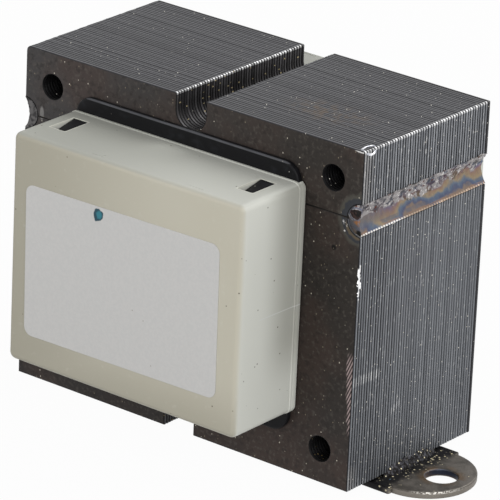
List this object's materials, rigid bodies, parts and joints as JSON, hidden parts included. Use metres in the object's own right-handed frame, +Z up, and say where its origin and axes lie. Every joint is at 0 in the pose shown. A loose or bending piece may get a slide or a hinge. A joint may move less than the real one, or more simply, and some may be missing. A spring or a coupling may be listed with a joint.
{
  "type": "control transformer",
  "caption": "Small laminated core transformer with a mounting strap under the core and a cream snap cover over each coil end.",
  "frame": {"origin": "centre of the bounding box in plan, at the underside of the mounting strap ears, where the part stands", "axes": "+X along the mounting strap, to the right as seen from the label; +Y from the label side to the back; +Z up"},
  "size_m": [0.0892, 0.0617, 0.0573],
  "materials": {
    "lamination_steel": "dark oxide-coated silicon steel, slightly mottled",
    "weld_steel": "bare weld bead with heat tints",
    "strap_steel": "hot-rolled strap with soot and a straw tint",
    "sooty_weld": "rough sooty weld",
    "former_nylon": "natural nylon",
    "magnet_wire": "enamelled copper wire, glossy amber",
    "insulating_tape": "yellow polyester tape",
    "tinned_splice": "tinned crimp sleeve",
    "splice_pad_card": "grey insulation card",
    "shroud_plastic": "black moulded nylon, fine satin",
    "cover_plastic": "cream moulded plastic, satin",
    "label_film": "silver-grey film, bare"
  },
  "bodies": {
    "root": {"e_lamination_stack": "lamination_steel", "i_lamination_stack": "lamination_steel", "right_weld_bead": "weld_steel", "left_weld_bead": "weld_steel", "mounting_strap": "strap_steel", "right_strap_weld": "sooty_weld", "left_strap_weld": "sooty_weld", "coil_former": "former_nylon", "primary_main_winding": "magnet_wire", "primary_tap_winding": "magnet_wire", "secondary_winding": "magnet_wire", "primary_layer_tape": "insulating_tape", "primary_outer_tape": "insulating_tape", "secondary_outer_tape": "insulating_tape", "primary_splices": "tinned_splice", "secondary_splices": "tinned_splice", "primary_splice_pad": "splice_pad_card", "secondary_splice_pad": "splice_pad_card", "front_shroud": "shroud_plastic", "rear_shroud": "shroud_plastic", "front_cover": "cover_plastic", "rear_cover": "cover_plastic", "rating_label": "label_film"}
  },
  "joints": []
}
